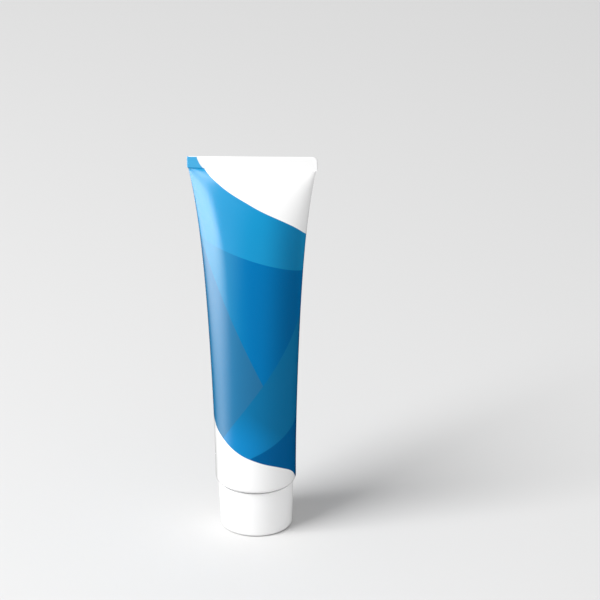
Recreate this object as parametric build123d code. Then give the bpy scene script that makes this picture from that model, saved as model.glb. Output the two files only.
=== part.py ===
from build123d import *
import math
import os

# Toothpaste tube standing on its screw cap. Millimetres, +Z up, the origin in the middle of the
# cap's foot. X runs along the pressed tail, and the printed front looks towards -Y.

# Sleeve: laminate film, round at the shoulder and pressed flat at the tail
tube_diameter = 38.0
laminate = 0.45
sleeve_length = 166.4
shoulder_round = 1.8
round_stretch = 2.0
lip_width = 1.0
crimp_height = 6.0
crimp_spread = 1.1
crimp_right_corner = 2.0
crimp_left_corner = 0.5
crimp_foot_corner = 0.3
crimp_bite = 0.3
early_flare_power = 1.5
late_flare_power = 6.0
early_flare_share = 0.67
pressed_share = 0.8
cavity_end_share = 0.985
section_shares = [0, 0.13, 0.26, 0.38, 0.5, 0.61, 0.71, 0.8, 0.87, 0.93, 0.97, 1]

# Head: moulded shoulder and threaded neck, bonded into the sleeve's rolled lip
head_wall = 1.1
head_rim_height = 1.4
shoulder_slope = 20.0
neck_diameter = 12.8
neck_length = 11.5
neck_bore_diameter = 10.0
neck_end_wall = 1.0
neck_root_round = 0.9
neck_tip_round = 0.4
orifice_diameter = 6.0
bond_gap = 0.05

# Foil disc welded over the orifice
foil_thickness = 0.15
foil_margin = 0.5

# Cap: one moulding with an outer skirt, a collar for the neck, a sealing ring and ribs
cap_height = 23.1
cap_step = 1.25
cap_draft = 0.75
cap_gap = 0.5
cap_foot_round = 1.6
cap_rim_round = 0.35
skirt_wall = 1.3
base_wall = 1.4
base_recess = 0.4
standing_ring_width = 1.5
gate_mark_diameter = 1.8
gate_mark_height = 0.25
inner_corner_round = 0.6
thread_depth = 1.25
collar_wall = 1.3
collar_clearance = 0.6
seal_ring_diameter = 10.6
seal_ring_wall = 1.1
seal_gap = 0.3
rib_count = 4
rib_first_angle = 45.0
rib_thickness = 0.9
rib_height = 8.0
rib_bite = 0.4

# Paste: what the sleeve and the head hold
paste_gap = 0.1
paste_top_share = 0.9

# What follows from the sizes above
tube_radius = tube_diameter / 2
tube_girth = math.pi * tube_diameter
shoulder_z = cap_height + cap_gap
body_z = shoulder_z + shoulder_round + round_stretch
tail_z = shoulder_z + sleeve_length
crimp_z = tail_z - crimp_height
body_length = crimp_z - body_z
lip_radius = tube_radius - shoulder_round - lip_width
slope_ratio = math.tan(math.radians(shoulder_slope))
slope_cosine = math.cos(math.radians(shoulder_slope))
neck_radius = neck_diameter / 2
neck_bore_radius = neck_bore_diameter / 2
neck_root_z = shoulder_z - (lip_radius - neck_radius) * slope_ratio
neck_tip_z = neck_root_z - neck_length
floor_z = base_recess + base_wall
collar_radius = neck_radius + thread_depth
cap_rim_radius = tube_radius - cap_step
cap_foot_radius = cap_rim_radius - cap_draft


def girth(half_width, half_depth):
    """Length round an ellipse, by Ramanujan's second formula."""
    total = half_width + half_depth
    evenness = ((half_width - half_depth) / total) ** 2
    return math.pi * total * (1 + 3 * evenness / (10 + math.sqrt(4 - 3 * evenness)))


def matching_half(one_half):
    """The other half-axis of the ellipse that the film's fixed girth leaves."""
    low, high = 0, tube_girth / 2
    for _ in range(60):
        middle = (low + high) / 2
        if girth(one_half, middle) < tube_girth:
            low = middle
        else:
            high = middle
    return middle


def section_halves(share):
    """Half-width and half-depth of the film at a share of the way up to the tail."""
    pressed_half_depth = laminate * pressed_share
    flat_half_width = matching_half(pressed_half_depth)
    early_flare = early_flare_share * share ** early_flare_power
    late_flare = (1 - early_flare_share) * share ** late_flare_power
    half_width = tube_radius + (flat_half_width - tube_radius) * (early_flare + late_flare)
    return half_width, matching_half(half_width)


def flared_body(inset, last_share, last_z):
    """Loft from the round shoulder to the flat tail, set inwards from the film's outside."""
    shares = [share for share in section_shares if share < last_share] + [last_share]
    sections = []
    for share in shares:
        half_width, half_depth = section_halves(share)
        height = last_z if share == last_share else body_z + share * body_length
        sections.append(Plane.XY.offset(height) * Ellipse(half_width - inset, half_depth - inset))
    return loft(sections)


def rounded(outline, corners):
    """Flat outline with a radius put on the corner nearest each given place."""
    for place, radius in corners:
        near = Vector(*place)
        vertex = outline.vertices().sort_by(lambda v: (Vector(v.X, v.Y) - near).length)[0]
        outline = fillet(vertex, radius)
    return outline


def turned(points, corners):
    """Solid turned about Z from (radius, height) points, with some corners rounded first."""
    outline = rounded(Polygon(*points, align=None), corners)
    return revolve(Plane.XZ * outline, Axis.Z)


def round_end(inset):
    """Short round stretch above the shoulder, with the film's rolled edge."""
    bottom = shoulder_z + inset
    radius = tube_radius - inset
    outline = [(0, bottom), (radius, bottom), (radius, body_z), (0, body_z)]
    return turned(outline, [((radius, bottom), shoulder_round - inset)])


def crimp_band():
    """Flat welded tail: both walls pressed together and trimmed square."""
    width = tube_girth / 2 + crimp_spread
    outline = Pos(0, (crimp_z + tail_z) / 2) * Rectangle(width, crimp_height)
    corners = [
        ((width / 2, tail_z), crimp_right_corner),
        ((-width / 2, tail_z), crimp_left_corner),
        ((width / 2, crimp_z), crimp_foot_corner),
        ((-width / 2, crimp_z), crimp_foot_corner),
    ]
    return extrude(Plane.XZ * rounded(outline, corners), laminate, both=True)


def tube_sleeve():
    outside = round_end(0) + flared_body(0, 1, crimp_z + crimp_bite) + crimp_band()
    cavity_top = body_z + cavity_end_share * body_length
    inside = round_end(laminate) + flared_body(laminate, cavity_end_share, cavity_top)
    mouth = Pos(0, 0, shoulder_z) * Cylinder(lip_radius, 2 * shoulder_round)
    return outside - inside - mouth


def tube_head():
    rim_radius = tube_radius - laminate - bond_gap
    rim_z = shoulder_z + shoulder_round + head_rim_height
    seat_z = shoulder_z + laminate + bond_gap
    step_radius = lip_radius - bond_gap
    inner_radius = rim_radius - head_wall
    inner_z = seat_z + head_wall
    bore_z = inner_z - (inner_radius - neck_bore_radius) * slope_ratio
    outline = [
        (orifice_diameter / 2, neck_tip_z),
        (neck_radius, neck_tip_z),
        (neck_radius, neck_root_z),
        (step_radius, shoulder_z),
        (step_radius, seat_z),
        (rim_radius, seat_z),
        (rim_radius, rim_z),
        (inner_radius, rim_z),
        (inner_radius, inner_z),
        (neck_bore_radius, bore_z),
        (neck_bore_radius, neck_tip_z + neck_end_wall),
        (orifice_diameter / 2, neck_tip_z + neck_end_wall),
    ]
    corners = [
        ((neck_radius, neck_tip_z), neck_tip_round),
        ((neck_radius, neck_root_z), neck_root_round),
        ((rim_radius, seat_z), shoulder_round - laminate - bond_gap),
    ]
    return turned(outline, corners)


def nozzle_seal():
    middle_z = neck_tip_z - bond_gap - foil_thickness / 2
    return Pos(0, 0, middle_z) * Cylinder(neck_radius - foil_margin, foil_thickness)


def toothpaste():
    rim_radius = tube_radius - laminate - paste_gap
    inner_radius = tube_radius - laminate - bond_gap - head_wall - paste_gap
    inner_z = shoulder_z + laminate + bond_gap + head_wall + paste_gap / slope_cosine
    bore_radius = neck_bore_radius - paste_gap
    bore_z = inner_z - (inner_radius - bore_radius) * slope_ratio
    rim_z = shoulder_z + shoulder_round + head_rim_height + paste_gap
    plug_radius = orifice_diameter / 2 - paste_gap
    plug_z = neck_tip_z + neck_end_wall + paste_gap
    outline = [
        (0, neck_tip_z),
        (plug_radius, neck_tip_z),
        (plug_radius, plug_z),
        (bore_radius, plug_z),
        (bore_radius, bore_z),
        (inner_radius, inner_z),
        (inner_radius, rim_z),
        (rim_radius, rim_z),
        (rim_radius, body_z),
        (0, body_z),
    ]
    top_z = body_z + paste_top_share * body_length
    return turned(outline, []) + flared_body(laminate + paste_gap, paste_top_share, top_z)


def cap_rib(angle):
    """Upright web from the collar to the skirt."""
    inner = collar_radius + collar_wall - rib_bite
    outer = cap_foot_radius - skirt_wall + rib_bite
    web = Box(outer - inner, rib_thickness, rib_height + rib_bite)
    return Rot(0, 0, angle) * Pos((inner + outer) / 2, 0, floor_z + (rib_height - rib_bite) / 2) * web


def screw_cap():
    gate_radius = gate_mark_diameter / 2
    recess_radius = cap_foot_radius - cap_foot_round - standing_ring_width - base_recess
    floor_radius = cap_foot_radius + cap_draft * floor_z / cap_height - skirt_wall
    collar_outside = collar_radius + collar_wall
    collar_top = shoulder_z - (lip_radius - collar_radius) * slope_ratio - collar_clearance
    ring_outside = seal_ring_diameter / 2
    ring_inside = ring_outside - seal_ring_wall
    ring_top = neck_tip_z - bond_gap - foil_thickness - seal_gap
    outline = [
        (0, base_recess - gate_mark_height),
        (gate_radius, base_recess - gate_mark_height),
        (gate_radius, base_recess),
        (recess_radius, base_recess),
        (recess_radius + base_recess, 0),
        (cap_foot_radius, 0),
        (cap_rim_radius, cap_height),
        (cap_rim_radius - skirt_wall, cap_height),
        (floor_radius, floor_z),
        (collar_outside, floor_z),
        (collar_outside, collar_top),
        (collar_radius, collar_top),
        (collar_radius, floor_z),
        (ring_outside, floor_z),
        (ring_outside, ring_top),
        (ring_inside, ring_top),
        (ring_inside, floor_z),
        (0, floor_z),
    ]
    corners = [
        ((cap_foot_radius, 0), cap_foot_round),
        ((cap_rim_radius, cap_height), cap_rim_round),
        ((cap_rim_radius - skirt_wall, cap_height), cap_rim_round),
        ((floor_radius, floor_z), inner_corner_round),
        ((collar_outside, floor_z), inner_corner_round),
        ((collar_outside, collar_top), cap_rim_round),
        ((collar_radius, collar_top), cap_rim_round),
    ]
    cap = turned(outline, corners)
    for number in range(rib_count):
        cap += cap_rib(rib_first_angle + number * 360 / rib_count)
    return cap


def write_parts():
    os.makedirs("parts", exist_ok=True)
    makers = [screw_cap, nozzle_seal, tube_head, tube_sleeve, toothpaste]
    for maker in makers:
        export_step(maker(), f"parts/{maker.__name__}.step")


write_parts()
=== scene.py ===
import math

import bmesh
import bpy
from mathutils import Matrix, Vector


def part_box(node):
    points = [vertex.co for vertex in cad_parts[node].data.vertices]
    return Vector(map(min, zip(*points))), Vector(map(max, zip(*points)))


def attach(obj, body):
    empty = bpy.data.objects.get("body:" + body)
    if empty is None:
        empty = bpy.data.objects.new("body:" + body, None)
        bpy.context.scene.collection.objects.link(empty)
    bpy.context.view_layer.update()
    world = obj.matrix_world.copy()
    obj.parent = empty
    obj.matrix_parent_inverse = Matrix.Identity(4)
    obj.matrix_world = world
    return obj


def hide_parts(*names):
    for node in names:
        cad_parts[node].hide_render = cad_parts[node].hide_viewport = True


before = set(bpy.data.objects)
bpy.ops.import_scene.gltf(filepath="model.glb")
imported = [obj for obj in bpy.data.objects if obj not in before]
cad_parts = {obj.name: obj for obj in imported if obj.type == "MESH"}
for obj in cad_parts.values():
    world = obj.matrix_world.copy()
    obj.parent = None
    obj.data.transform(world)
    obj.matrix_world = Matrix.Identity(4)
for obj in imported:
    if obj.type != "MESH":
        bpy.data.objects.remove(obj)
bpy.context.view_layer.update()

# Toothpaste tube on its screw cap. Metres, +Z up, and the printed front faces -Y.
MM = 0.001
FULL_TURN = 2 * math.pi

# Where the solid parts are
SLEEVE_LOW, SLEEVE_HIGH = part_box("tube_sleeve")
HEAD_LOW, HEAD_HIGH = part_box("tube_head")
FOIL_LOW, FOIL_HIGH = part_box("nozzle_seal")
CAP_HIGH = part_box("screw_cap")[1]

# Film sleeve
TUBE_RADIUS = SLEEVE_HIGH.y
QUARTER_GIRTH = TUBE_RADIUS * math.pi / 2
SHOULDER_Z = SLEEVE_LOW.z
TAIL_Z = SLEEVE_HIGH.z
LAMINATE = 0.45 * MM
SHOULDER_ROUND = 1.8 * MM
ROUND_STRETCH = 2.0 * MM
LIP_WIDTH = 1.0 * MM
CRIMP_HEIGHT = 6.0 * MM
CRIMP_EASE = 0.5 * MM
CRIMP_SLANT = 0.6 * MM
CRIMP_EDGE = 0.1 * MM
CRIMP_RIGHT_CORNER = 2.0 * MM
CRIMP_LEFT_CORNER = 0.5 * MM
CRIMP_SIDE_SHARPNESS = 9.0
PRESSED_SHARE = 0.8
CRIMP_Z = TAIL_Z - CRIMP_HEIGHT
BODY_Z = SHOULDER_Z + SHOULDER_ROUND + ROUND_STRETCH
LIP_RADIUS = TUBE_RADIUS - SHOULDER_ROUND - LIP_WIDTH
EARLY_FLARE_POWER = 1.5
LATE_FLARE_POWER = 6.0
EARLY_FLARE_SHARE = 0.67
GIRTH_POWER = math.log(2) / math.log(math.pi / 2)
HALF_GIRTH_SHARE = 0.5
QUARTER_GIRTH_SHARE = 0.25
FILM_MAP = "film"
PRINTED_MARK = "printed"
BAND_ROWS = 12
EASE_ROWS = 18
BODY_ROWS = 96
CAVITY_ROWS = 48
FILM_AROUND = 240

# Head and neck
HEAD_WALL = 1.1 * MM
BOND_GAP = 0.05 * MM
SHOULDER_SLOPE = math.tan(math.radians(20))
NECK_RADIUS = 6.4 * MM
NECK_BORE_RADIUS = 5.0 * MM
NECK_END_WALL = 1.0 * MM
NECK_ROOT_ROUND = 0.9 * MM
NECK_TIP_ROUND = 0.4 * MM
ORIFICE_RADIUS = 3.0 * MM
FOIL_EDGE_SHARE = 1 / 3

# Cap
CAP_DRAFT = 0.75 * MM
CAP_FOOT_ROUND = 1.6 * MM
CAP_RIM_ROUND = 0.35 * MM
CAP_WALL = 1.3 * MM
CAP_BASE = 1.4 * MM
CAP_RECESS = 0.4 * MM
STANDING_RING = 1.5 * MM
GATE_RADIUS = 0.9 * MM
GATE_HEIGHT = 0.25 * MM
INNER_CORNER = 0.6 * MM
COLLAR_RADIUS = 7.65 * MM
COLLAR_CLEARANCE = 0.6 * MM
RING_RADIUS = 5.3 * MM
RING_WALL = 1.1 * MM
RING_GAP = 0.3 * MM
WEB_COUNT = 4
WEB_ANGLE = math.radians(45)
WEB_THICKNESS = 0.9 * MM
WEB_HEIGHT = 8.0 * MM
WEB_BITE = 0.4 * MM

# Screw thread, a ridge on the neck and its fellow in the cap's collar
THREAD_LEAD = 3.0 * MM
THREAD_TURNS = 2.6
THREAD_REACH = 0.85 * MM
THREAD_SINK = 0.1 * MM
THREAD_ROOT = 1.3 * MM
THREAD_CREST = 0.6 * MM
THREAD_FADE = 0.08
THREAD_START = 1.6 * MM
THREAD_STEPS = 64

# Fineness of the meshes
TURN_STEPS = 160
CORNER_STEPS = 8
SMOOTH_ANGLE = math.radians(35)
WELD_DISTANCE = 0.005 * MM

# Print. Places are (quarters of the girth from the front's middle, millimetres up the tube), and
# the sweeps are (share of the way round from the back, share of the tube's height).
TOP_SWEEP_SHARES = [
    (0.0, 0.83), (0.13, 0.95), (0.25, 1.036), (0.305, 0.975), (0.352, 0.944),
    (0.5, 0.886), (0.66, 0.833), (0.75, 0.794), (0.86, 0.76), (1.0, 0.83),
]
LOW_SWEEP_SHARES = [
    (0.0, 0.14), (0.12, 0.235), (0.25, 0.302), (0.33, 0.274), (0.44, 0.232), (0.52, 0.211),
    (0.62, 0.185), (0.69, 0.158), (0.75, 0.118), (0.87, 0.09), (1.0, 0.14),
]
SKY_EDGES = [((-0.95, 151.5), (0.91, 133.5)), ((-2.0, 122.0), (-1.0, 152.0))]
SLATE_EDGE = ((-0.95, 152.0), (0.0, 90.0))
TEAL_EDGES = [((-0.52, 51.0), (0.8, 106.5)), ((-2.0, 122.0), (-1.35, 30.0))]
NAVY_EDGES = [((-0.03, 42.6), (0.88, 56.9)), ((-2.0, 74.5), (-1.5, 45.0))]
PRINT_SOFTNESS = 0.12
TEAL_FADE_ACROSS = (-0.2, 0.75)
TEAL_FADE_UP = (46.0, 70.0)
# Painted light on the left side of the blue field
LEFT_FADE = (0.05, -0.75)
LEFT_LIGHT_SHARE = 0.14
# Painted shade on the right side of the upper blue field, fading out towards the back
RIGHT_RISE = (0.1, 0.65)
RIGHT_FALL = (0.72, 1.0)
RIGHT_SHADE = 0.32
# Painted sheen on the welded tail
TAIL_SHEEN_SHARE = 0.6

# Lap seam at the back. Its places are shares of the girth.
LAP_SHARES = (0.002, 0.02)
LAP_CUT_SHARE = 0.002
LAP_SOFTNESS = 0.0004
LAP_STEP = 0.12 * MM
LAP_CUT_TINT = 0.45

# Inks and plastics, and the painted light and shade on the print, as linear colours
PAPER_WHITE = (0.86, 0.86, 0.86, 1.0)
# Painted light on the left side of the print
LEFT_LIGHT_BLUE = (0.05, 0.42, 0.76, 1.0)
# Painted sheen on the welded tail
TAIL_SHEEN_BLUE = (0.1, 0.47, 0.8, 1.0)
# Painted shade on the right side of the print
RIGHT_SHADE_BLUE = (0.0, 0.035, 0.12, 1.0)
MID_BLUE = (0.0, 0.152, 0.395, 1.0)
# Painted light: the mid blue as it is lit on the left
MID_LIT_BLUE = (0.004, 0.2, 0.38, 1.0)
SKY_BLUE = (0.008, 0.255, 0.51, 1.0)
SLATE_BLUE = (0.018, 0.144, 0.3, 1.0)
TEAL_LIGHT = (0.004, 0.198, 0.47, 1.0)
TEAL_BLUE = (0.004, 0.147, 0.325, 1.0)
NAVY_BLUE = (0.0, 0.098, 0.278, 1.0)
CAP_WHITE = (0.86, 0.86, 0.86, 1.0)
HEAD_WHITE = (0.8, 0.8, 0.79, 1.0)
FILM_WHITE = (0.82, 0.82, 0.81, 1.0)
FOIL_GREY = (0.78, 0.78, 0.79, 1.0)
PASTE_MINT = (0.74, 0.85, 0.84, 1.0)
PASTE_WHITE = (0.84, 0.88, 0.88, 1.0)
FLOOR_GREY = (0.62, 0.62, 0.62, 1.0)

# Finishes: roughness and its spread, and the size and depth of a skin's grain and of its long waves
SKIN_SPREAD = 0.05
NOISE_MIDDLE = 0.5
FILM_SKIN = {
    "Roughness": 0.14,
    "Grain Size": 0.25 * MM,
    "Grain": 0.0005 * MM,
    "Wave Size": 14 * MM,
    "Wave": 0.02 * MM,
}
FOIL_SKIN = {
    "Roughness": 0.28,
    "Grain Size": 0.5 * MM,
    "Grain": 0.004 * MM,
    "Wave Size": 3 * MM,
    "Wave": 0.02 * MM,
}
PASTE_SKIN = {
    "Roughness": 0.2,
    "Grain Size": 1 * MM,
    "Grain": 0.02 * MM,
    "Wave Size": 5 * MM,
    "Wave": 0.1 * MM,
}
MOULDED_SKIN = {
    "Grain Size": 0.3 * MM,
    "Grain": 0.002 * MM,
    "Wave Size": 6 * MM,
    "Wave": 0.004 * MM,
}
CAP_ROUGHNESS = 0.35
HEAD_ROUGHNESS = 0.5
FILM_BACK_ROUGHNESS = 0.4
FILM_SHEEN_LEVEL = 0.35
CAP_SHEEN_LEVEL = 0.1
EMBOSS_PITCH = 1.0 * MM
EMBOSS_DEPTH = 0.03 * MM
STREAK_SIZE = 4 * MM

# Camera
VIEW_AZIMUTH = math.radians(-2.347)
VIEW_ELEVATION = math.radians(25.372)
VIEW_ROLL = math.radians(-0.521)
VIEW_DISTANCE = 3.6
VIEW_LENS = 460.2
VIEW_REACH = 100.0
AIM_RIGHT = 21.67 * MM
AIM_HEIGHT = 116.12 * MM

# Studio. Azimuths are in degrees, 0 in front and negative on the left.
FLOOR_HALF = 7.0
KEY_AZIMUTH = -57.0
KEY_ELEVATION = 50.0
KEY_DISTANCE = 2.2
KEY_SIZE = 1.1
KEY_POWER = 56.4
WALL_EVEN = 0.86
WALL_LEAN = (0.07, -0.14, -0.4)
HORIZON = (-0.05, 0.1)

# Curved card on the left that only the gloss sees. Heights are in metres.
CARD_RADIUS = 0.4
CARD_LOW = -0.3
CARD_HIGH = 0.5
CARD_START = -150.0
CARD_END = 20.0
CARD_STEPS = 48
CARD_EDGES = [((0.043, -42.5), (0.25, -23.2)), ((-0.12, -71.0), (0.043, -42.5))]
CARD_EDGE_END = -13.5
CARD_SOFT_HEIGHTS = (-0.1, 0.12)
CARD_EDGE_WIDTHS = (42.0, 7.0)
CARD_GLOW_WIDTH = 34.0
CARD_GLOW = 0.1
CARD_BACK = (-142.0, -82.0)
CARD_DIM_HEIGHTS = (-0.13, 0.07)
CARD_LEVELS = (3.0, 14.0)
CARD_TOP_HEIGHTS = (0.27, 0.48)
CARD_TOP_LOSS = 10.0


# Node helpers

SHAPE_OUT = [("Geometry", "Geometry")]


def node(tree, kind, inputs=None, **settings):
    """One node with its settings, and its inputs set to values or linked from sockets."""
    made = tree.nodes.new(kind)
    for name, value in settings.items():
        setattr(made, name, value)
    join(tree, made, inputs or {})
    return made


def join(tree, target, inputs):
    for key, value in inputs.items():
        if isinstance(value, bpy.types.NodeSocket):
            tree.links.new(value, target.inputs[key])
        else:
            target.inputs[key].default_value = value


def calc(tree, operation, first, second=0.0):
    """Result of one sum."""
    return node(tree, "ShaderNodeMath", {0: first, 1: second}, operation=operation).outputs[0]


def clamped(tree, value, low, high):
    return calc(tree, "MINIMUM", calc(tree, "MAXIMUM", value, low), high)


def ramp(tree, value, low, high):
    """Smooth step from 0 at low to 1 at high."""
    ends = {"Value": value, "From Min": low, "From Max": high}
    return node(tree, "ShaderNodeMapRange", ends, interpolation_type="SMOOTHSTEP").outputs["Result"]


def blend(tree, factor, first, second):
    """first at factor 0, and second at factor 1."""
    gap = calc(tree, "SUBTRACT", second, first)
    return calc(tree, "ADD", first, calc(tree, "MULTIPLY", gap, factor))


def mixed_colour(tree, factor, first, second):
    """first at factor 0, and second at factor 1. The node's colour sockets go by number, because
    their names repeat."""
    mixer = node(tree, "ShaderNodeMix", data_type="RGBA")
    join(tree, mixer, {0: factor, 6: first, 7: second})
    return mixer.outputs[2]


def axes(tree, vector):
    """X, Y and Z of a vector."""
    parts = node(tree, "ShaderNodeSeparateXYZ", {0: vector}).outputs
    return parts[0], parts[1], parts[2]


def vector_of(tree, x, y, z):
    return node(tree, "ShaderNodeCombineXYZ", {0: x, 1: y, 2: z}).outputs[0]


def new_group(name, kind, inputs, outputs):
    """Empty node group with named sockets, the sockets that it is given and those that it fills."""
    tree = bpy.data.node_groups.new(name, kind)
    for socket_name, socket_type in inputs:
        tree.interface.new_socket(socket_name, in_out="INPUT", socket_type="NodeSocket" + socket_type)
    for socket_name, socket_type in outputs:
        tree.interface.new_socket(socket_name, in_out="OUTPUT", socket_type="NodeSocket" + socket_type)
    return tree, tree.nodes.new("NodeGroupInput").outputs, tree.nodes.new("NodeGroupOutput")


def welded(tree, geometry, distance):
    merge = {"Geometry": geometry, "Distance": distance}
    return node(tree, "GeometryNodeMergeByDistance", merge).outputs[0]


def dressed(tree, geometry, material):
    """Real geometry with a material on all of it."""
    real = node(tree, "GeometryNodeRealizeInstances", {"Geometry": geometry}).outputs[0]
    return node(tree, "GeometryNodeSetMaterial", {"Geometry": real, "Material": material}).outputs[0]


def placed_group(tree, group, inputs):
    """Outputs of a shader group placed in a material's tree."""
    made = node(tree, "ShaderNodeGroup", node_tree=group)
    join(tree, made, inputs)
    return made.outputs


# Mesh helpers

def new_piece(name, mesh):
    piece = bpy.data.objects.new(name, mesh)
    bpy.context.scene.collection.objects.link(piece)
    return piece


def mesh_from(work, name):
    """Plain mesh from a finished bmesh, its faces turned outwards."""
    bmesh.ops.recalc_face_normals(work, faces=work.faces)
    mesh = bpy.data.meshes.new(name)
    work.to_mesh(mesh)
    work.free()
    return mesh


def smoothed(piece):
    piece.data.shade_smooth()
    piece.data.set_sharp_from_angle(angle=SMOOTH_ANGLE)
    return piece


def shaped(piece, tree, values):
    """Runs a geometry tree on a piece with named values, and leaves a plain mesh in its place."""
    modifier = piece.modifiers.new(tree.name, "NODES")
    modifier.node_group = tree
    for item in tree.interface.items_tree:
        if item.name in values:
            modifier[item.identifier] = values[item.name]
    bpy.context.view_layer.update()
    result = piece.evaluated_get(bpy.context.evaluated_depsgraph_get())
    mesh = bpy.data.meshes.new_from_object(result)
    piece.modifiers.remove(modifier)
    blank = piece.data
    piece.data = mesh
    bpy.data.meshes.remove(blank)
    mesh.name = piece.name
    work = bmesh.new()
    work.from_mesh(mesh)
    bmesh.ops.recalc_face_normals(work, faces=work.faces)
    work.to_mesh(mesh)
    work.free()
    return smoothed(piece)


def assigned(piece, body, slot, *nodes):
    """Gives a finished piece its body and hides the solids that it stands for. Its slot is not used."""
    if nodes:
        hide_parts(*nodes)
    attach(piece, body)


def arc(centre, radius, start, end):
    """Points on an arc, with its angles in degrees."""
    points = []
    for step in range(CORNER_STEPS + 1):
        angle = math.radians(start + (end - start) * step / CORNER_STEPS)
        points.append((centre[0] + radius * math.cos(angle), centre[1] + radius * math.sin(angle)))
    return points


def softened(points, radii):
    """Open outline with an arc put in at each corner that radii names by its number."""
    line = []
    for number, place in enumerate(points):
        radius = radii.get(number)
        if radius is None:
            line.append(place)
            continue
        corner = Vector(place)
        back = (Vector(points[number - 1]) - corner).normalized()
        ahead = (Vector(points[number + 1]) - corner).normalized()
        half = back.angle(ahead) / 2
        centre = corner + (back + ahead).normalized() * radius / math.sin(half)
        first = corner + back * radius / math.tan(half) - centre
        last = corner + ahead * radius / math.tan(half) - centre
        turn = -first.angle_signed(last)
        for step in range(CORNER_STEPS + 1):
            spoke = Matrix.Rotation(turn * step / CORNER_STEPS, 2) @ first
            line.append(tuple(centre + spoke))
    return line


def turned(name, outline, material):
    """Solid turned about Z from an outline of (radius, height) points."""
    work = bmesh.new()
    corners = [work.verts.new((radius, 0, height)) for radius, height in outline]
    edges = [work.edges.new(pair) for pair in zip(corners, corners[1:])]
    if outline[0][0] > 0:
        edges.append(work.edges.new((corners[-1], corners[0])))
    bmesh.ops.spin(
        work, geom=corners + edges, cent=(0, 0, 0), axis=(0, 0, 1), dvec=(0, 0, 0),
        angle=FULL_TURN, steps=TURN_STEPS, use_merge=True,
    )
    bmesh.ops.remove_doubles(work, verts=work.verts, dist=WELD_DISTANCE)
    piece = new_piece(name, mesh_from(work, name))
    piece.data.materials.append(material)
    return smoothed(piece)


# Film sleeve

def stretch(line, inset, start, end, rows, printed):
    """Adds a straight stretch of rows to the film's section."""
    for row in range(1, rows + 1):
        line.append((inset, start + (end - start) * row / rows, printed))


def film_section():
    """Section of the film as (inset, height, printed) points: down the outside from the tail,
    round the rolled lip, and up the inside to where the two walls meet."""
    line = [(LAMINATE, TAIL_Z, False), (CRIMP_EDGE, TAIL_Z, True), (0, TAIL_Z - CRIMP_EDGE, True)]
    ease_top = CRIMP_Z + CRIMP_SLANT + CRIMP_EDGE
    ease_foot = CRIMP_Z - CRIMP_EASE - CRIMP_SLANT - CRIMP_EDGE
    round_top = SHOULDER_Z + SHOULDER_ROUND
    stretch(line, 0, TAIL_Z - CRIMP_EDGE, ease_top, BAND_ROWS, True)
    stretch(line, 0, ease_top, ease_foot, EASE_ROWS, True)
    stretch(line, 0, ease_foot, round_top, BODY_ROWS, True)
    outer = arc((SHOULDER_ROUND, round_top), SHOULDER_ROUND, 180, 270)[1:]
    line += [(inset, height, True) for inset, height in outer]
    lip = SHOULDER_ROUND + LIP_WIDTH
    line += [(lip, SHOULDER_Z, True), (lip, SHOULDER_Z + LAMINATE, False)]
    inner = arc((SHOULDER_ROUND, round_top), SHOULDER_ROUND - LAMINATE, 270, 180)
    line += [(inset, height, False) for inset, height in inner]
    stretch(line, LAMINATE, round_top, CRIMP_Z, CAVITY_ROWS, False)
    return line


def flat_film():
    """The film's section swept over a full turn, still flat: X is the angle round the tube,
    Y the inset from the outside, and Z the height."""
    section = film_section()
    work = bmesh.new()
    printed = work.faces.layers.int.new(PRINTED_MARK)
    columns = []
    for step in range(FILM_AROUND + 1):
        angle = FULL_TURN * (step / FILM_AROUND - 0.5)
        columns.append([work.verts.new((angle, inset, height)) for inset, height, _ in section])
    for left, right in zip(columns, columns[1:]):
        for row in range(len(section) - 1):
            face = work.faces.new((left[row], left[row + 1], right[row + 1], right[row]))
            face[printed] = int(section[row][2] and section[row + 1][2])
    return mesh_from(work, "film_sleeve")


def flare_share(tree, given, height):
    """How far the film has spread from round to flat at a height, from 0 to 1."""
    climb = calc(tree, "SUBTRACT", height, given["Body Start"])
    climb = clamped(tree, calc(tree, "DIVIDE", climb, given["Body Length"]), 0.0, 1.0)
    early = calc(tree, "POWER", climb, given["Early Power"])
    late = calc(tree, "POWER", climb, given["Late Power"])
    return blend(tree, given["Early Share"], late, early)


def matching_half(tree, given, half_width):
    """Half-depth of the ellipse that the film's fixed girth leaves for a half-width."""
    power = given["Girth Power"]
    whole = calc(tree, "POWER", given["Quarter"], power)
    rest = calc(tree, "SUBTRACT", whole, calc(tree, "POWER", half_width, power))
    return calc(tree, "POWER", calc(tree, "MAXIMUM", rest, 0.0), calc(tree, "DIVIDE", 1.0, power))


def corner_cut(tree, height, tail, radius):
    """How far a rounded corner of the tail stands in at a height."""
    rise = calc(tree, "SUBTRACT", height, calc(tree, "SUBTRACT", tail, radius))
    rise = clamped(tree, rise, 0.0, radius)
    radius_square = calc(tree, "MULTIPLY", radius, radius)
    square = calc(tree, "SUBTRACT", radius_square, calc(tree, "MULTIPLY", rise, rise))
    return calc(tree, "SUBTRACT", radius, calc(tree, "SQRT", calc(tree, "MAXIMUM", square, 0.0)))


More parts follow.
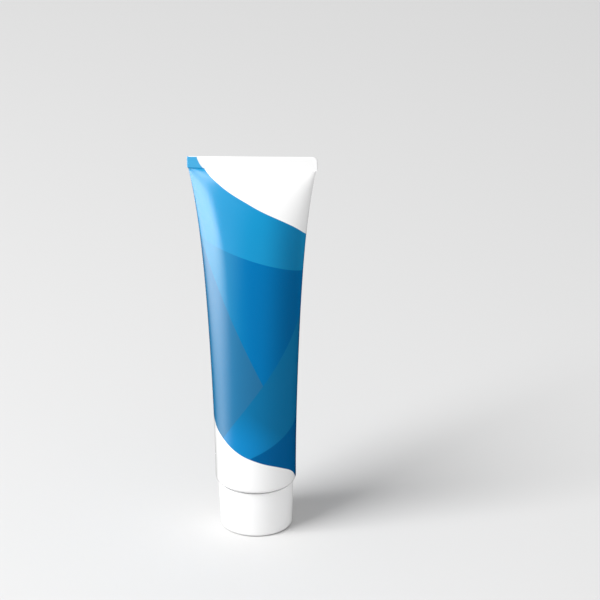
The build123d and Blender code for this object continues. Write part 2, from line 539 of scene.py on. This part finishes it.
def wrapped_place(tree, given, angle, inset, height, flare):
    """Place of a point of the flat film once it is wrapped round and its tail is pressed, with the
    foot of the pressed band a little askew."""
    sine = calc(tree, "SINE", angle)
    cosine = calc(tree, "COSINE", angle)
    slant = calc(tree, "MULTIPLY", given["Crimp Slant"], sine)
    crimp_start = calc(tree, "SUBTRACT", given["Crimp Start"], slant)
    pressed = ramp(tree, height, calc(tree, "SUBTRACT", crimp_start, given["Crimp Ease"]), crimp_start)
    half_width = blend(tree, flare, given["Radius"], given["Flat Half"])
    half_depth = matching_half(tree, given, half_width)
    half_width = blend(tree, pressed, half_width, given["Crimp Half Width"])
    half_depth = blend(tree, pressed, half_depth, given["Crimp Half Depth"])
    two_walls = clamped(tree, calc(tree, "MULTIPLY", cosine, given["Side Sharpness"]), -1.0, 1.0)
    facing = blend(tree, pressed, cosine, two_walls)
    right = corner_cut(tree, height, given["Tail"], given["Right Corner"])
    left = corner_cut(tree, height, given["Tail"], given["Left Corner"])
    cut = blend(tree, calc(tree, "GREATER_THAN", sine, 0.0), left, right)
    reach = calc(tree, "SUBTRACT", calc(tree, "SUBTRACT", half_width, inset), cut)
    depth = calc(tree, "MAXIMUM", calc(tree, "SUBTRACT", half_depth, inset), 0.0)
    back = calc(tree, "MULTIPLY", calc(tree, "MULTIPLY", depth, facing), -1.0)
    return vector_of(tree, calc(tree, "MULTIPLY", reach, sine), back, height)


def film_place(tree, given, angle, height, flare):
    """Place on the flat print: share of the way round from the back, and share of the height."""
    behind = calc(tree, "GREATER_THAN", calc(tree, "ABSOLUTE", angle), math.pi / 2)
    quarter_turn = calc(tree, "MULTIPLY", calc(tree, "SINE", angle), QUARTER_GIRTH_SHARE)
    half_turn = calc(tree, "MULTIPLY", calc(tree, "SIGN", angle), HALF_GIRTH_SHARE)
    when_flat = blend(tree, behind, quarter_turn, calc(tree, "SUBTRACT", half_turn, quarter_turn))
    when_round = calc(tree, "DIVIDE", angle, FULL_TURN)
    around = calc(tree, "ADD", blend(tree, flare, when_round, when_flat), HALF_GIRTH_SHARE)
    return vector_of(tree, around, calc(tree, "DIVIDE", height, given["Tail"]), 0.0)


def wrap_tree():
    """Geometry tree that wraps the flat film round: a circle at the shoulder, ellipses of the same
    girth on the way up, and two flat walls at the tail."""
    sizes = [
        "Radius", "Quarter", "Flat Half", "Body Start", "Body Length", "Early Power", "Late Power",
        "Early Share", "Girth Power", "Crimp Start", "Crimp Ease", "Crimp Slant", "Crimp Half Width",
        "Crimp Half Depth", "Side Sharpness", "Tail", "Right Corner", "Left Corner", "Weld",
    ]
    inputs = [("Geometry", "Geometry")] + [(name, "Float") for name in sizes]
    inputs += [("Outside", "Material"), ("Inside", "Material")]
    tree, given, result = new_group("wrap_film", "GeometryNodeTree", inputs, SHAPE_OUT)
    angle, inset, height = axes(tree, node(tree, "GeometryNodeInputPosition").outputs[0])
    flare = flare_share(tree, given, height)
    spread = film_place(tree, given, angle, height, flare)
    flat = {"Geometry": given["Geometry"], "Name": FILM_MAP, "Value": spread}
    stored = node(tree, "GeometryNodeStoreNamedAttribute", flat, data_type="FLOAT2", domain="CORNER")
    place = wrapped_place(tree, given, angle, inset, height, flare)
    moved = node(tree, "GeometryNodeSetPosition", {"Geometry": stored.outputs[0], "Position": place})
    plain = dressed(tree, welded(tree, moved.outputs[0], given["Weld"]), given["Inside"])
    mark = node(tree, "GeometryNodeInputNamedAttribute", {"Name": PRINTED_MARK}, data_type="INT")
    print_on = {"Geometry": plain, "Selection": mark.outputs[0], "Material": given["Outside"]}
    join(tree, result, {"Geometry": node(tree, "GeometryNodeSetMaterial", print_on).outputs[0]})
    return tree


def film_sleeve(outside, inside):
    pressed_half = LAMINATE * PRESSED_SHARE
    flat_half = (QUARTER_GIRTH ** GIRTH_POWER - pressed_half ** GIRTH_POWER) ** (1 / GIRTH_POWER)
    values = {
        "Radius": TUBE_RADIUS,
        "Quarter": QUARTER_GIRTH,
        "Flat Half": flat_half,
        "Body Start": BODY_Z,
        "Body Length": CRIMP_Z - BODY_Z,
        "Early Power": EARLY_FLARE_POWER,
        "Late Power": LATE_FLARE_POWER,
        "Early Share": EARLY_FLARE_SHARE,
        "Girth Power": GIRTH_POWER,
        "Crimp Start": CRIMP_Z,
        "Crimp Ease": CRIMP_EASE,
        "Crimp Slant": CRIMP_SLANT,
        "Crimp Half Width": SLEEVE_HIGH.x,
        "Crimp Half Depth": LAMINATE,
        "Side Sharpness": CRIMP_SIDE_SHARPNESS,
        "Tail": TAIL_Z,
        "Right Corner": CRIMP_RIGHT_CORNER,
        "Left Corner": CRIMP_LEFT_CORNER,
        "Weld": WELD_DISTANCE,
        "Outside": outside,
        "Inside": inside,
    }
    piece = shaped(new_piece("film_sleeve", flat_film()), wrap_tree(), values)
    assigned(piece, "tube", "sleeve", "tube_sleeve")


# Head, foil and cap

def shoulder_and_neck(material):
    seat_z = SHOULDER_Z + LAMINATE + BOND_GAP
    step_radius = LIP_RADIUS - BOND_GAP
    inner_radius = HEAD_HIGH.x - HEAD_WALL
    inner_z = seat_z + HEAD_WALL
    outline = [
        (ORIFICE_RADIUS, HEAD_LOW.z),
        (NECK_RADIUS, HEAD_LOW.z),
        (NECK_RADIUS, SHOULDER_Z - (LIP_RADIUS - NECK_RADIUS) * SHOULDER_SLOPE),
        (step_radius, SHOULDER_Z),
        (step_radius, seat_z),
        (HEAD_HIGH.x, seat_z),
        (HEAD_HIGH.x, HEAD_HIGH.z),
        (inner_radius, HEAD_HIGH.z),
        (inner_radius, inner_z),
        (NECK_BORE_RADIUS, inner_z - (inner_radius - NECK_BORE_RADIUS) * SHOULDER_SLOPE),
        (NECK_BORE_RADIUS, HEAD_LOW.z + NECK_END_WALL),
        (ORIFICE_RADIUS, HEAD_LOW.z + NECK_END_WALL),
    ]
    radii = {1: NECK_TIP_ROUND, 2: NECK_ROOT_ROUND, 5: SHOULDER_ROUND - LAMINATE - BOND_GAP}
    assigned(turned("shoulder_and_neck", softened(outline, radii), material), "tube", "head", "tube_head")


def foil_disc(material):
    edge = (FOIL_HIGH.z - FOIL_LOW.z) * FOIL_EDGE_SHARE
    outline = [(0, FOIL_LOW.z), (FOIL_HIGH.x, FOIL_LOW.z), (FOIL_HIGH.x, FOIL_HIGH.z), (0, FOIL_HIGH.z)]
    disc = turned("foil_disc", softened(outline, {1: edge, 2: edge}), material)
    assigned(disc, "seal", "foil", "nozzle_seal")


def cap_moulding(material):
    """Recessed foot, skirt, collar and sealing ring, turned in one."""
    foot_radius = CAP_HIGH.x - CAP_DRAFT
    floor_z = CAP_RECESS + CAP_BASE
    recess_radius = foot_radius - CAP_FOOT_ROUND - STANDING_RING - CAP_RECESS
    floor_radius = foot_radius + CAP_DRAFT * floor_z / CAP_HIGH.z - CAP_WALL
    collar_outside = COLLAR_RADIUS + CAP_WALL
    collar_top = SHOULDER_Z - (LIP_RADIUS - COLLAR_RADIUS) * SHOULDER_SLOPE - COLLAR_CLEARANCE
    ring_top = FOIL_LOW.z - RING_GAP
    outline = [
        (0, CAP_RECESS - GATE_HEIGHT),
        (GATE_RADIUS, CAP_RECESS - GATE_HEIGHT),
        (GATE_RADIUS, CAP_RECESS),
        (recess_radius, CAP_RECESS),
        (recess_radius + CAP_RECESS, 0),
        (foot_radius, 0),
        (CAP_HIGH.x, CAP_HIGH.z),
        (CAP_HIGH.x - CAP_WALL, CAP_HIGH.z),
        (floor_radius, floor_z),
        (collar_outside, floor_z),
        (collar_outside, collar_top),
        (COLLAR_RADIUS, collar_top),
        (COLLAR_RADIUS, floor_z),
        (RING_RADIUS, floor_z),
        (RING_RADIUS, ring_top),
        (RING_RADIUS - RING_WALL, ring_top),
        (RING_RADIUS - RING_WALL, floor_z),
        (0, floor_z),
    ]
    radii = {5: CAP_FOOT_ROUND, 8: INNER_CORNER, 9: INNER_CORNER}
    radii.update({number: CAP_RIM_ROUND for number in (6, 7, 10, 11)})
    assigned(turned("cap_moulding", softened(outline, radii), material), "cap", "cap", "screw_cap")


def web_tree():
    """Geometry tree that stands upright webs round a ring."""
    inputs = [
        ("Geometry", "Geometry"), ("Count", "Int"), ("First Angle", "Float"), ("Ring Radius", "Float"),
        ("Length", "Float"), ("Thickness", "Float"), ("Height", "Float"), ("Middle", "Float"),
        ("Material", "Material"),
    ]
    tree, given, result = new_group("ring_of_webs", "GeometryNodeTree", inputs, SHAPE_OUT)
    size_of_ring = {"Vertices": given["Count"], "Radius": given["Ring Radius"]}
    ring = node(tree, "GeometryNodeMeshCircle", size_of_ring)
    x, y, _ = axes(tree, node(tree, "GeometryNodeInputPosition").outputs[0])
    facing = vector_of(tree, 0.0, 0.0, calc(tree, "ARCTAN2", y, x))
    size = vector_of(tree, given["Length"], given["Thickness"], given["Height"])
    web = node(tree, "GeometryNodeMeshCube", {"Size": size})
    stand = {"Points": ring.outputs[0], "Instance": web.outputs[0], "Rotation": facing}
    webs = node(tree, "GeometryNodeInstanceOnPoints", stand)
    move = {
        "Geometry": webs.outputs[0],
        "Translation": vector_of(tree, 0.0, 0.0, given["Middle"]),
        "Rotation": vector_of(tree, 0.0, 0.0, given["First Angle"]),
    }
    placed = node(tree, "GeometryNodeTransform", move).outputs[0]
    join(tree, result, {"Geometry": dressed(tree, placed, given["Material"])})
    return tree


def cap_webs(material):
    inner = COLLAR_RADIUS + CAP_WALL - WEB_BITE
    outer = CAP_HIGH.x - CAP_DRAFT - CAP_WALL + WEB_BITE
    values = {
        "Count": WEB_COUNT,
        "First Angle": WEB_ANGLE,
        "Ring Radius": (inner + outer) / 2,
        "Length": outer - inner,
        "Thickness": WEB_THICKNESS,
        "Height": WEB_HEIGHT + WEB_BITE,
        "Middle": CAP_RECESS + CAP_BASE + (WEB_HEIGHT - WEB_BITE) / 2,
        "Material": material,
    }
    piece = new_piece("cap_webs", bpy.data.meshes.new("cap_webs"))
    assigned(shaped(piece, web_tree(), values), "cap", "cap")


def thread_tree():
    """Geometry tree that runs a tapering ridge up a right-hand spiral."""
    inputs = [
        ("Geometry", "Geometry"), ("Radius", "Float"), ("Start", "Float"), ("Lead", "Float"),
        ("Turns", "Float"), ("Steps", "Int"), ("Reach", "Float"), ("Sink", "Float"), ("Root", "Float"),
        ("Crest", "Float"), ("Fade", "Float"), ("Weld", "Float"), ("Material", "Material"),
    ]
    tree, given, result = new_group("screw_ridge", "GeometryNodeTree", inputs, SHAPE_OUT)
    run = {
        "Resolution": given["Steps"],
        "Rotations": given["Turns"],
        "Start Radius": given["Radius"],
        "End Radius": given["Radius"],
        "Height": calc(tree, "MULTIPLY", given["Lead"], given["Turns"]),
    }
    spiral = node(tree, "GeometryNodeCurveSpiral", run)
    upright = node(tree, "GeometryNodeSetCurveNormal", {"Curve": spiral.outputs[0]}, mode="Z_UP")
    root = calc(tree, "DIVIDE", given["Root"], 2.0)
    crest = calc(tree, "DIVIDE", given["Crest"], 2.0)
    buried = calc(tree, "MULTIPLY", given["Sink"], -1.0)
    section = {
        "Point 1": vector_of(tree, buried, calc(tree, "MULTIPLY", root, -1.0), 0.0),
        "Point 2": vector_of(tree, given["Reach"], calc(tree, "MULTIPLY", crest, -1.0), 0.0),
        "Point 3": vector_of(tree, given["Reach"], crest, 0.0),
        "Point 4": vector_of(tree, buried, root, 0.0),
    }
    ridge = node(tree, "GeometryNodeCurvePrimitiveQuadrilateral", section, mode="POINTS")
    along = node(tree, "GeometryNodeSplineParameter").outputs["Factor"]
    run_in = ramp(tree, along, 0.0, given["Fade"])
    run_out = ramp(tree, calc(tree, "SUBTRACT", 1.0, along), 0.0, given["Fade"])
    sweep = {
        "Curve": upright.outputs[0],
        "Profile Curve": ridge.outputs[0],
        "Scale": calc(tree, "MULTIPLY", run_in, run_out),
    }
    swept = node(tree, "GeometryNodeCurveToMesh", sweep)
    lift = {"Geometry": swept.outputs[0], "Translation": vector_of(tree, 0.0, 0.0, given["Start"])}
    closed = welded(tree, node(tree, "GeometryNodeTransform", lift).outputs[0], given["Weld"])
    join(tree, result, {"Geometry": dressed(tree, closed, given["Material"])})
    return tree


def screw_ridge(name, tree, radius, outwards, start, body, slot, material):
    """Ridge on a round wall, reaching outwards with 1 and inwards with -1."""
    values = {
        "Radius": radius,
        "Start": start,
        "Lead": THREAD_LEAD,
        "Turns": THREAD_TURNS,
        "Steps": THREAD_STEPS,
        "Reach": THREAD_REACH * outwards,
        "Sink": THREAD_SINK * outwards,
        "Root": THREAD_ROOT,
        "Crest": THREAD_CREST,
        "Fade": THREAD_FADE,
        "Weld": WELD_DISTANCE,
        "Material": material,
    }
    piece = new_piece(name, bpy.data.meshes.new(name))
    assigned(shaped(piece, tree, values), body, slot)


def screw_thread(head_material, cap_material):
    """The neck's ridge, and the collar's half a lead above it."""
    tree = thread_tree()
    start = HEAD_LOW.z + THREAD_START
    collar_start = start + THREAD_LEAD / 2
    screw_ridge("neck_thread", tree, NECK_RADIUS, 1, start, "tube", "head", head_material)
    screw_ridge("collar_thread", tree, COLLAR_RADIUS, -1, collar_start, "cap", "cap", cap_material)


# Materials

def new_material(name, **values):
    """Material with one Principled shader, its even values set on the shader's own sockets."""
    material = bpy.data.materials.new(name)
    material.use_nodes = True
    tree = material.node_tree
    shader = tree.nodes["Principled BSDF"]
    join(tree, shader, {key.replace("_", " "): value for key, value in values.items()})
    return material, tree, shader


def object_place(tree):
    return node(tree, "ShaderNodeTexCoord").outputs["Object"]


def facet_group():
    """1 below a straight print edge and 0 above it, with a slightly soft step."""
    names = ["Across", "Up", "From Across", "From Up", "To Across", "To Up", "Softness"]
    tree, given, result = new_group(
        "print_facet", "ShaderNodeTree", [(name, "Float") for name in names], [("Mask", "Float")]
    )
    run = calc(tree, "SUBTRACT", given["To Across"], given["From Across"])
    rise = calc(tree, "SUBTRACT", given["To Up"], given["From Up"])
    along = calc(tree, "DIVIDE", calc(tree, "SUBTRACT", given["Across"], given["From Across"]), run)
    edge = calc(tree, "ADD", given["From Up"], calc(tree, "MULTIPLY", along, rise))
    under = calc(tree, "SUBTRACT", edge, given["Up"])
    mask = ramp(tree, under, calc(tree, "MULTIPLY", given["Softness"], -1.0), given["Softness"])
    join(tree, result, {"Mask": mask})
    return tree


def surface_group():
    """Fine unevenness of a skin: its height, and the roughness that varies with it."""
    names = ["Grain Size", "Wave Size", "Grain", "Wave", "Roughness", "Spread"]
    inputs = [("Place", "Vector")] + [(name, "Float") for name in names]
    tree, given, result = new_group(
        "fine_skin", "ShaderNodeTree", inputs, [("Height", "Float"), ("Roughness", "Float")]
    )
    layers = []
    for size in ("Grain Size", "Wave Size"):
        scale = calc(tree, "DIVIDE", 1.0, given[size])
        noise = node(tree, "ShaderNodeTexNoise", {"Vector": given["Place"], "Scale": scale})
        layers.append(calc(tree, "SUBTRACT", noise.outputs["Fac"], NOISE_MIDDLE))
    grain = calc(tree, "MULTIPLY", layers[0], given["Grain"])
    wave = calc(tree, "MULTIPLY", layers[1], given["Wave"])
    uneven = calc(tree, "MULTIPLY", layers[1], given["Spread"])
    heights = {
        "Height": calc(tree, "ADD", grain, wave),
        "Roughness": calc(tree, "ADD", given["Roughness"], uneven),
    }
    join(tree, result, heights)
    return tree


def add_skin(tree, shader, group, skin, pattern=0.0):
    """Puts a skin's fine unevenness on a material, with a pattern raised by its height in metres."""
    made = placed_group(tree, group, {"Place": object_place(tree), "Spread": SKIN_SPREAD, **skin})
    height = calc(tree, "ADD", made["Height"], pattern)
    bump = node(tree, "ShaderNodeBump", {"Height": height, "Strength": 1.0, "Distance": 1.0})
    join(tree, shader, {"Roughness": made["Roughness"], "Normal": bump.outputs["Normal"]})


def sweep_height(tree, around, shares):
    """Height of a curved print edge in millimetres, from a smooth curve through its shares."""
    graph = node(tree, "ShaderNodeFloatCurve", {"Value": around})
    graph.mapping.use_clip = False
    curve = graph.mapping.curves[0]
    curve.points[0].location = shares[0]
    curve.points[1].location = shares[-1]
    for place in shares[1:-1]:
        curve.points.new(*place)
    graph.mapping.update()
    return calc(tree, "MULTIPLY", graph.outputs["Value"], TAIL_Z / MM)


def lap_seam(tree, around):
    """Masks of the overlap where the film was welded into a tube, and of its cut edge."""
    start, end = LAP_SHARES
    places = (start, end, start + LAP_CUT_SHARE)
    rise, fall, cut_end = (
        ramp(tree, around, place - LAP_SOFTNESS, place + LAP_SOFTNESS) for place in places
    )
    return calc(tree, "SUBTRACT", rise, fall), calc(tree, "SUBTRACT", rise, cut_end)


def blue_field(tree, facet, across, up):
    """Colour of the blue field: flat tones with straight borders, with painted light that makes it
    paler on the left and painted shade that makes it deeper on the right."""

    def below(edge):
        (from_across, from_up), (to_across, to_up) = edge
        sockets = {
            "Across": across, "Up": up, "From Across": from_across, "From Up": from_up,
            "To Across": to_across, "To Up": to_up, "Softness": PRINT_SOFTNESS,
        }
        return placed_group(tree, facet, sockets)["Mask"]

    under_sky = calc(tree, "MULTIPLY", *(below(edge) for edge in SKY_EDGES))
    teal = calc(tree, "MAXIMUM", *(below(edge) for edge in TEAL_EDGES))
    navy = calc(tree, "MAXIMUM", *(below(edge) for edge in NAVY_EDGES))
    fade = calc(tree, "ADD", ramp(tree, across, *TEAL_FADE_ACROSS), ramp(tree, up, *TEAL_FADE_UP))
    teal_tone = mixed_colour(tree, calc(tree, "MINIMUM", fade, 1.0), TEAL_LIGHT, TEAL_BLUE)
    # Painted light: the mid blue and then the whole field are mixed paler towards the left
    leftwards = ramp(tree, across, *LEFT_FADE)
    mid_tone = mixed_colour(tree, leftwards, MID_BLUE, MID_LIT_BLUE)
    colour = mixed_colour(tree, below(SLATE_EDGE), mid_tone, SLATE_BLUE)
    colour = mixed_colour(tree, teal, colour, teal_tone)
    colour = mixed_colour(tree, navy, colour, NAVY_BLUE)
    colour = mixed_colour(tree, calc(tree, "MULTIPLY", leftwards, LEFT_LIGHT_SHARE), colour, LEFT_LIGHT_BLUE)
    colour = mixed_colour(tree, under_sky, SKY_BLUE, colour)
    # Painted shade: the upper blue field is mixed towards a deep blue on the right side, and less again
    # towards the back
    fall = calc(tree, "SUBTRACT", 1.0, ramp(tree, across, *RIGHT_FALL))
    rightwards = calc(tree, "MULTIPLY", ramp(tree, across, *RIGHT_RISE), fall)
    upper = calc(tree, "SUBTRACT", 1.0, calc(tree, "MAXIMUM", teal, navy))
    right_shade_share = calc(tree, "MULTIPLY", calc(tree, "MULTIPLY", rightwards, upper), RIGHT_SHADE)
    return mixed_colour(tree, right_shade_share, colour, RIGHT_SHADE_BLUE)


def white_fields(tree, around, up):
    """1 on the white fields above the top sweep and below the low one."""

    def above_sweep(shares):
        over = calc(tree, "SUBTRACT", up, sweep_height(tree, around, shares))
        return ramp(tree, over, -PRINT_SOFTNESS, PRINT_SOFTNESS)

    under_low_sweep = calc(tree, "SUBTRACT", 1.0, above_sweep(LOW_SWEEP_SHARES))
    return calc(tree, "MAXIMUM", above_sweep(TOP_SWEEP_SHARES), under_low_sweep)


def welded_band(tree):
    """1 on the welded tail, whose foot runs askew."""
    x, _, z = axes(tree, object_place(tree))
    lean = calc(tree, "MULTIPLY", x, CRIMP_SLANT / SLEEVE_HIGH.x)
    return calc(tree, "GREATER_THAN", z, calc(tree, "SUBTRACT", CRIMP_Z, lean))


def printed_film(skin, facet):
    """Glossy film with a blue field between two white ones, a painted sheen that makes the tail paler,
    and a lap seam behind.
    """
    material, tree, shader = new_material("printed_film", Specular_IOR_Level=FILM_SHEEN_LEVEL)
    around, climb, _ = axes(tree, node(tree, "ShaderNodeUVMap", uv_map=FILM_MAP).outputs[0])
    from_front = calc(tree, "SUBTRACT", around, HALF_GIRTH_SHARE)
    across = calc(tree, "DIVIDE", from_front, QUARTER_GIRTH_SHARE)
    up = calc(tree, "MULTIPLY", climb, TAIL_Z / MM)
    colour = blue_field(tree, facet, across, up)
    # Painted sheen: the welded tail is mixed towards a paler blue
    colour = mixed_colour(tree, calc(tree, "MULTIPLY", welded_band(tree), TAIL_SHEEN_SHARE), colour, TAIL_SHEEN_BLUE)
    colour = mixed_colour(tree, white_fields(tree, around, up), colour, PAPER_WHITE)
    raised, cut = lap_seam(tree, around)
    colour = mixed_colour(tree, calc(tree, "MULTIPLY", cut, LAP_CUT_TINT), colour, PAPER_WHITE)
    join(tree, shader, {"Base Color": colour})
    add_skin(tree, shader, skin, FILM_SKIN, calc(tree, "MULTIPLY", raised, LAP_STEP))
    return material


def moulded_plastic(name, colour, roughness, skin, **values):
    material, tree, shader = new_material(name, Base_Color=colour, **values)
    add_skin(tree, shader, skin, {"Roughness": roughness, **MOULDED_SKIN})
    return material


def seal_foil(skin):
    """Bright foil with a fine square emboss."""
    material, tree, shader = new_material("seal_foil", Base_Color=FOIL_GREY, Metallic=1.0)
    x, y, _ = axes(tree, object_place(tree))
    waves = [calc(tree, "SINE", calc(tree, "MULTIPLY", way, FULL_TURN / EMBOSS_PITCH)) for way in (x, y)]
    emboss = calc(tree, "MULTIPLY", calc(tree, "MULTIPLY", *waves), EMBOSS_DEPTH)
    add_skin(tree, shader, skin, FOIL_SKIN, emboss)
    return material


def paste_gel(skin):
    """Wet pale paste with faint streaks."""
    material, tree, shader = new_material("paste_gel")
    streaks = node(tree, "ShaderNodeTexNoise", {"Vector": object_place(tree), "Scale": 1 / STREAK_SIZE})
    colour = mixed_colour(tree, streaks.outputs["Fac"], PASTE_MINT, PASTE_WHITE)
    join(tree, shader, {"Base Color": colour})
    add_skin(tree, shader, skin, PASTE_SKIN)
    return material


# Studio

def studio_floor():
    near, far = -FLOOR_HALF, FLOOR_HALF
    mesh = bpy.data.meshes.new("floor")
    mesh.from_pydata([(near, near, 0), (far, near, 0), (far, far, 0), (near, far, 0)], [], [(0, 1, 2, 3)])
    matt = {"Roughness": 1.0, "Specular_IOR_Level": 0.0}
    material, _, _ = new_material("pale_floor", Base_Color=FLOOR_GREY, **matt)
    mesh.materials.append(material)
    piece = new_piece("floor", mesh)
    piece.visible_glossy = False


def key_light():
    """Large square softbox on the left, above and a little in front."""
    data = bpy.data.lights.new("key", "AREA")
    data.shape = "SQUARE"
    data.size = KEY_SIZE
    data.energy = KEY_POWER
    lamp = bpy.data.objects.new("key", data)
    around, above = math.radians(KEY_AZIMUTH), math.radians(KEY_ELEVATION)
    level = Vector((math.sin(around), -math.cos(around), 0))
    way = level * math.cos(above) + Vector((0, 0, math.sin(above)))
    lamp.location = Vector((0, 0, AIM_HEIGHT)) + way * KEY_DISTANCE
    lamp.rotation_euler = (-way).to_track_quat("-Z", "Y").to_euler()
    bpy.context.scene.collection.objects.link(lamp)


def studio_walls():
    """Pale walls that end at the horizon, a little dimmer overhead and at the back."""
    world = bpy.data.worlds.new("studio")
    world.use_nodes = True
    tree = world.node_tree
    direction = node(tree, "ShaderNodeTexCoord").outputs["Generated"]
    _, _, height = axes(tree, direction)
    lean = node(tree, "ShaderNodeVectorMath", {0: direction, 1: WALL_LEAN}, operation="DOT_PRODUCT")
    wall = calc(tree, "MAXIMUM", calc(tree, "ADD", lean.outputs["Value"], WALL_EVEN), 0.0)
    strength = calc(tree, "MULTIPLY", wall, ramp(tree, height, *HORIZON))
    join(tree, tree.nodes["Background"], {"Color": (1, 1, 1, 1), "Strength": strength})
    bpy.context.scene.world = world


def card_edge(tree, height, low, high):
    """Azimuth of a straight edge of the card at a height, from its (height, azimuth) ends."""
    ends = {"Value": height, "From Min": low[0], "From Max": high[0], "To Min": low[1], "To Max": high[1]}
    return node(tree, "ShaderNodeMapRange", ends, clamp=False).outputs["Result"]


def card_light():
    """Light of the gloss card: full behind a bent front edge with a faint glow before it, and dim at
    the back, towards the foot and at the top."""
    material = bpy.data.materials.new("card_light")
    material.use_nodes = True
    tree = material.node_tree
    tree.nodes.remove(tree.nodes["Principled BSDF"])
    x, y, height = axes(tree, object_place(tree))
    turn = calc(tree, "ARCTAN2", x, calc(tree, "MULTIPLY", y, -1.0))
    azimuth = calc(tree, "DEGREES", turn)
    edge = calc(tree, "MINIMUM", *(card_edge(tree, height, *ends) for ends in CARD_EDGES))
    past = calc(tree, "SUBTRACT", calc(tree, "MINIMUM", edge, CARD_EDGE_END), azimuth)
    width = blend(tree, ramp(tree, height, *CARD_SOFT_HEIGHTS), *CARD_EDGE_WIDTHS)
    half_width = calc(tree, "DIVIDE", width, 2.0)
    full = ramp(tree, past, calc(tree, "MULTIPLY", half_width, -1.0), half_width)
    glow = calc(tree, "MULTIPLY", ramp(tree, past, -CARD_GLOW_WIDTH, 0.0), CARD_GLOW)
    front = calc(tree, "MAXIMUM", full, glow)
    top_loss = calc(tree, "MULTIPLY", ramp(tree, height, *CARD_TOP_HEIGHTS), CARD_TOP_LOSS)
    rising = blend(tree, ramp(tree, height, *CARD_DIM_HEIGHTS), *CARD_LEVELS)
    level = calc(tree, "SUBTRACT", rising, top_loss)
    shape = calc(tree, "MULTIPLY", front, ramp(tree, azimuth, *CARD_BACK))
    light = node(tree, "ShaderNodeEmission", {"Strength": calc(tree, "MULTIPLY", shape, level)})
    join(tree, tree.nodes["Material Output"], {"Surface": light.outputs[0]})
    material.cycles.emission_sampling = "NONE"
    return material


def gloss_card():
    """Curved card round the left side, which lights nothing and shows in the gloss alone."""
    work = bmesh.new()
    columns = []
    for step in range(CARD_STEPS + 1):
        azimuth = math.radians(CARD_START + (CARD_END - CARD_START) * step / CARD_STEPS)
        x, y = CARD_RADIUS * math.sin(azimuth), -CARD_RADIUS * math.cos(azimuth)
        columns.append([work.verts.new((x, y, height)) for height in (CARD_LOW, CARD_HIGH)])
    for left, right in zip(columns, columns[1:]):
        work.faces.new((left[0], right[0], right[1], left[1]))
    card = new_piece("gloss_card", mesh_from(work, "gloss_card"))
    card.data.materials.append(card_light())
    card.visible_camera = False
    card.visible_diffuse = False
    card.visible_transmission = False
    card.visible_shadow = False


def camera():
    data = bpy.data.cameras.new("camera")
    data.lens = VIEW_LENS
    data.clip_end = VIEW_REACH
    eye = bpy.data.objects.new("camera", data)
    level = Vector((math.sin(VIEW_AZIMUTH), math.cos(VIEW_AZIMUTH), 0))
    ahead = level * math.cos(VIEW_ELEVATION) - Vector((0, 0, math.sin(VIEW_ELEVATION)))
    right = Vector((math.cos(VIEW_AZIMUTH), -math.sin(VIEW_AZIMUTH), 0))
    aim = right * AIM_RIGHT + Vector((0, 0, AIM_HEIGHT))
    tilted_right = right * math.cos(VIEW_ROLL) + right.cross(ahead) * math.sin(VIEW_ROLL)
    turn = Matrix((tilted_right, tilted_right.cross(ahead), -ahead)).transposed().to_4x4()
    eye.matrix_world = Matrix.Translation(aim - ahead * VIEW_DISTANCE) @ turn
    bpy.context.scene.collection.objects.link(eye)
    bpy.context.scene.camera = eye


def studio():
    camera()
    key_light()
    studio_walls()
    gloss_card()
    studio_floor()
    bpy.context.scene.view_settings.view_transform = "Standard"


def toothpaste_tube():
    skin = surface_group()
    dull = {"Specular_IOR_Level": CAP_SHEEN_LEVEL}
    cap_plastic = moulded_plastic("cap_plastic", CAP_WHITE, CAP_ROUGHNESS, skin, **dull)
    head_plastic = moulded_plastic("head_plastic", HEAD_WHITE, HEAD_ROUGHNESS, skin)
    film_inside = moulded_plastic("film_inside", FILM_WHITE, FILM_BACK_ROUGHNESS, skin)
    film_sleeve(printed_film(skin, facet_group()), film_inside)
    shoulder_and_neck(head_plastic)
    foil_disc(seal_foil(skin))
    cap_moulding(cap_plastic)
    cap_webs(cap_plastic)
    screw_thread(head_plastic, cap_plastic)
    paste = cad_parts["toothpaste"].data.materials
    paste.clear()
    paste.append(paste_gel(skin))


studio()
toothpaste_tube()
